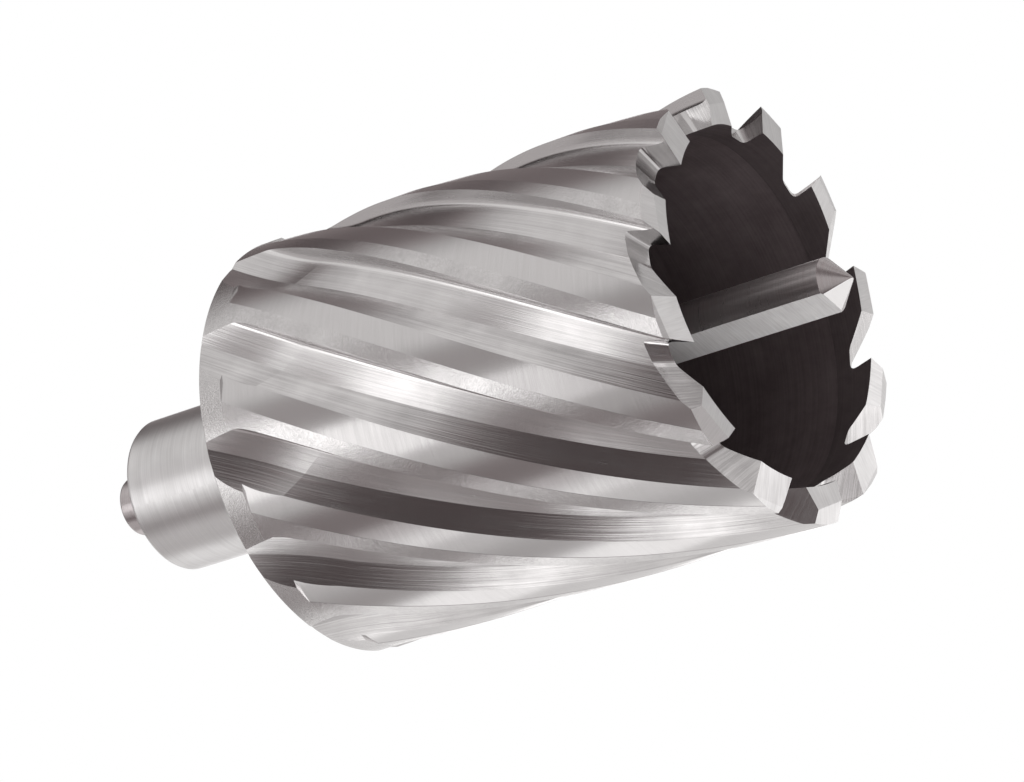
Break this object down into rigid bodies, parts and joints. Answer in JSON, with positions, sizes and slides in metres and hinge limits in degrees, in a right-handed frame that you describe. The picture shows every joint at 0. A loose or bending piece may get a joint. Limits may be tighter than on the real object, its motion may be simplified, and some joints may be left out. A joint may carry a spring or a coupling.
{
  "type": "annular cutter",
  "caption": "Right-hand annular cutter: a deep toothed steel cup with helical flutes and a flatted shank, with a loose pilot pin sliding through the shank.",
  "frame": {"origin": "on the axis of the shank at the shoulder, where the shank meets the flat rear face of the cup", "axes": "+Z along the axis from the teeth toward the shank, so the teeth point down; +X through the leading corner of a tooth crested near the rim"},
  "size_m": [0.0508, 0.0508, 0.1034],
  "materials": {
    "ground_tool_steel": "bare ground high speed steel, bright lands and flutes with fine grinding lines, dark oxide inside the cup",
    "pin_steel": "bright ground steel, slightly worn"
  },
  "bodies": {
    "cutter": {"cutter_body": "ground_tool_steel"},
    "pin": {"pilot_pin": "pin_steel"}
  },
  "joints": [
    {"name": "pin_slide", "type": "slide", "parent": "cutter", "child": "pin", "axis": [0, 0, 1], "range_m": [0, 0.0617]}
  ]
}
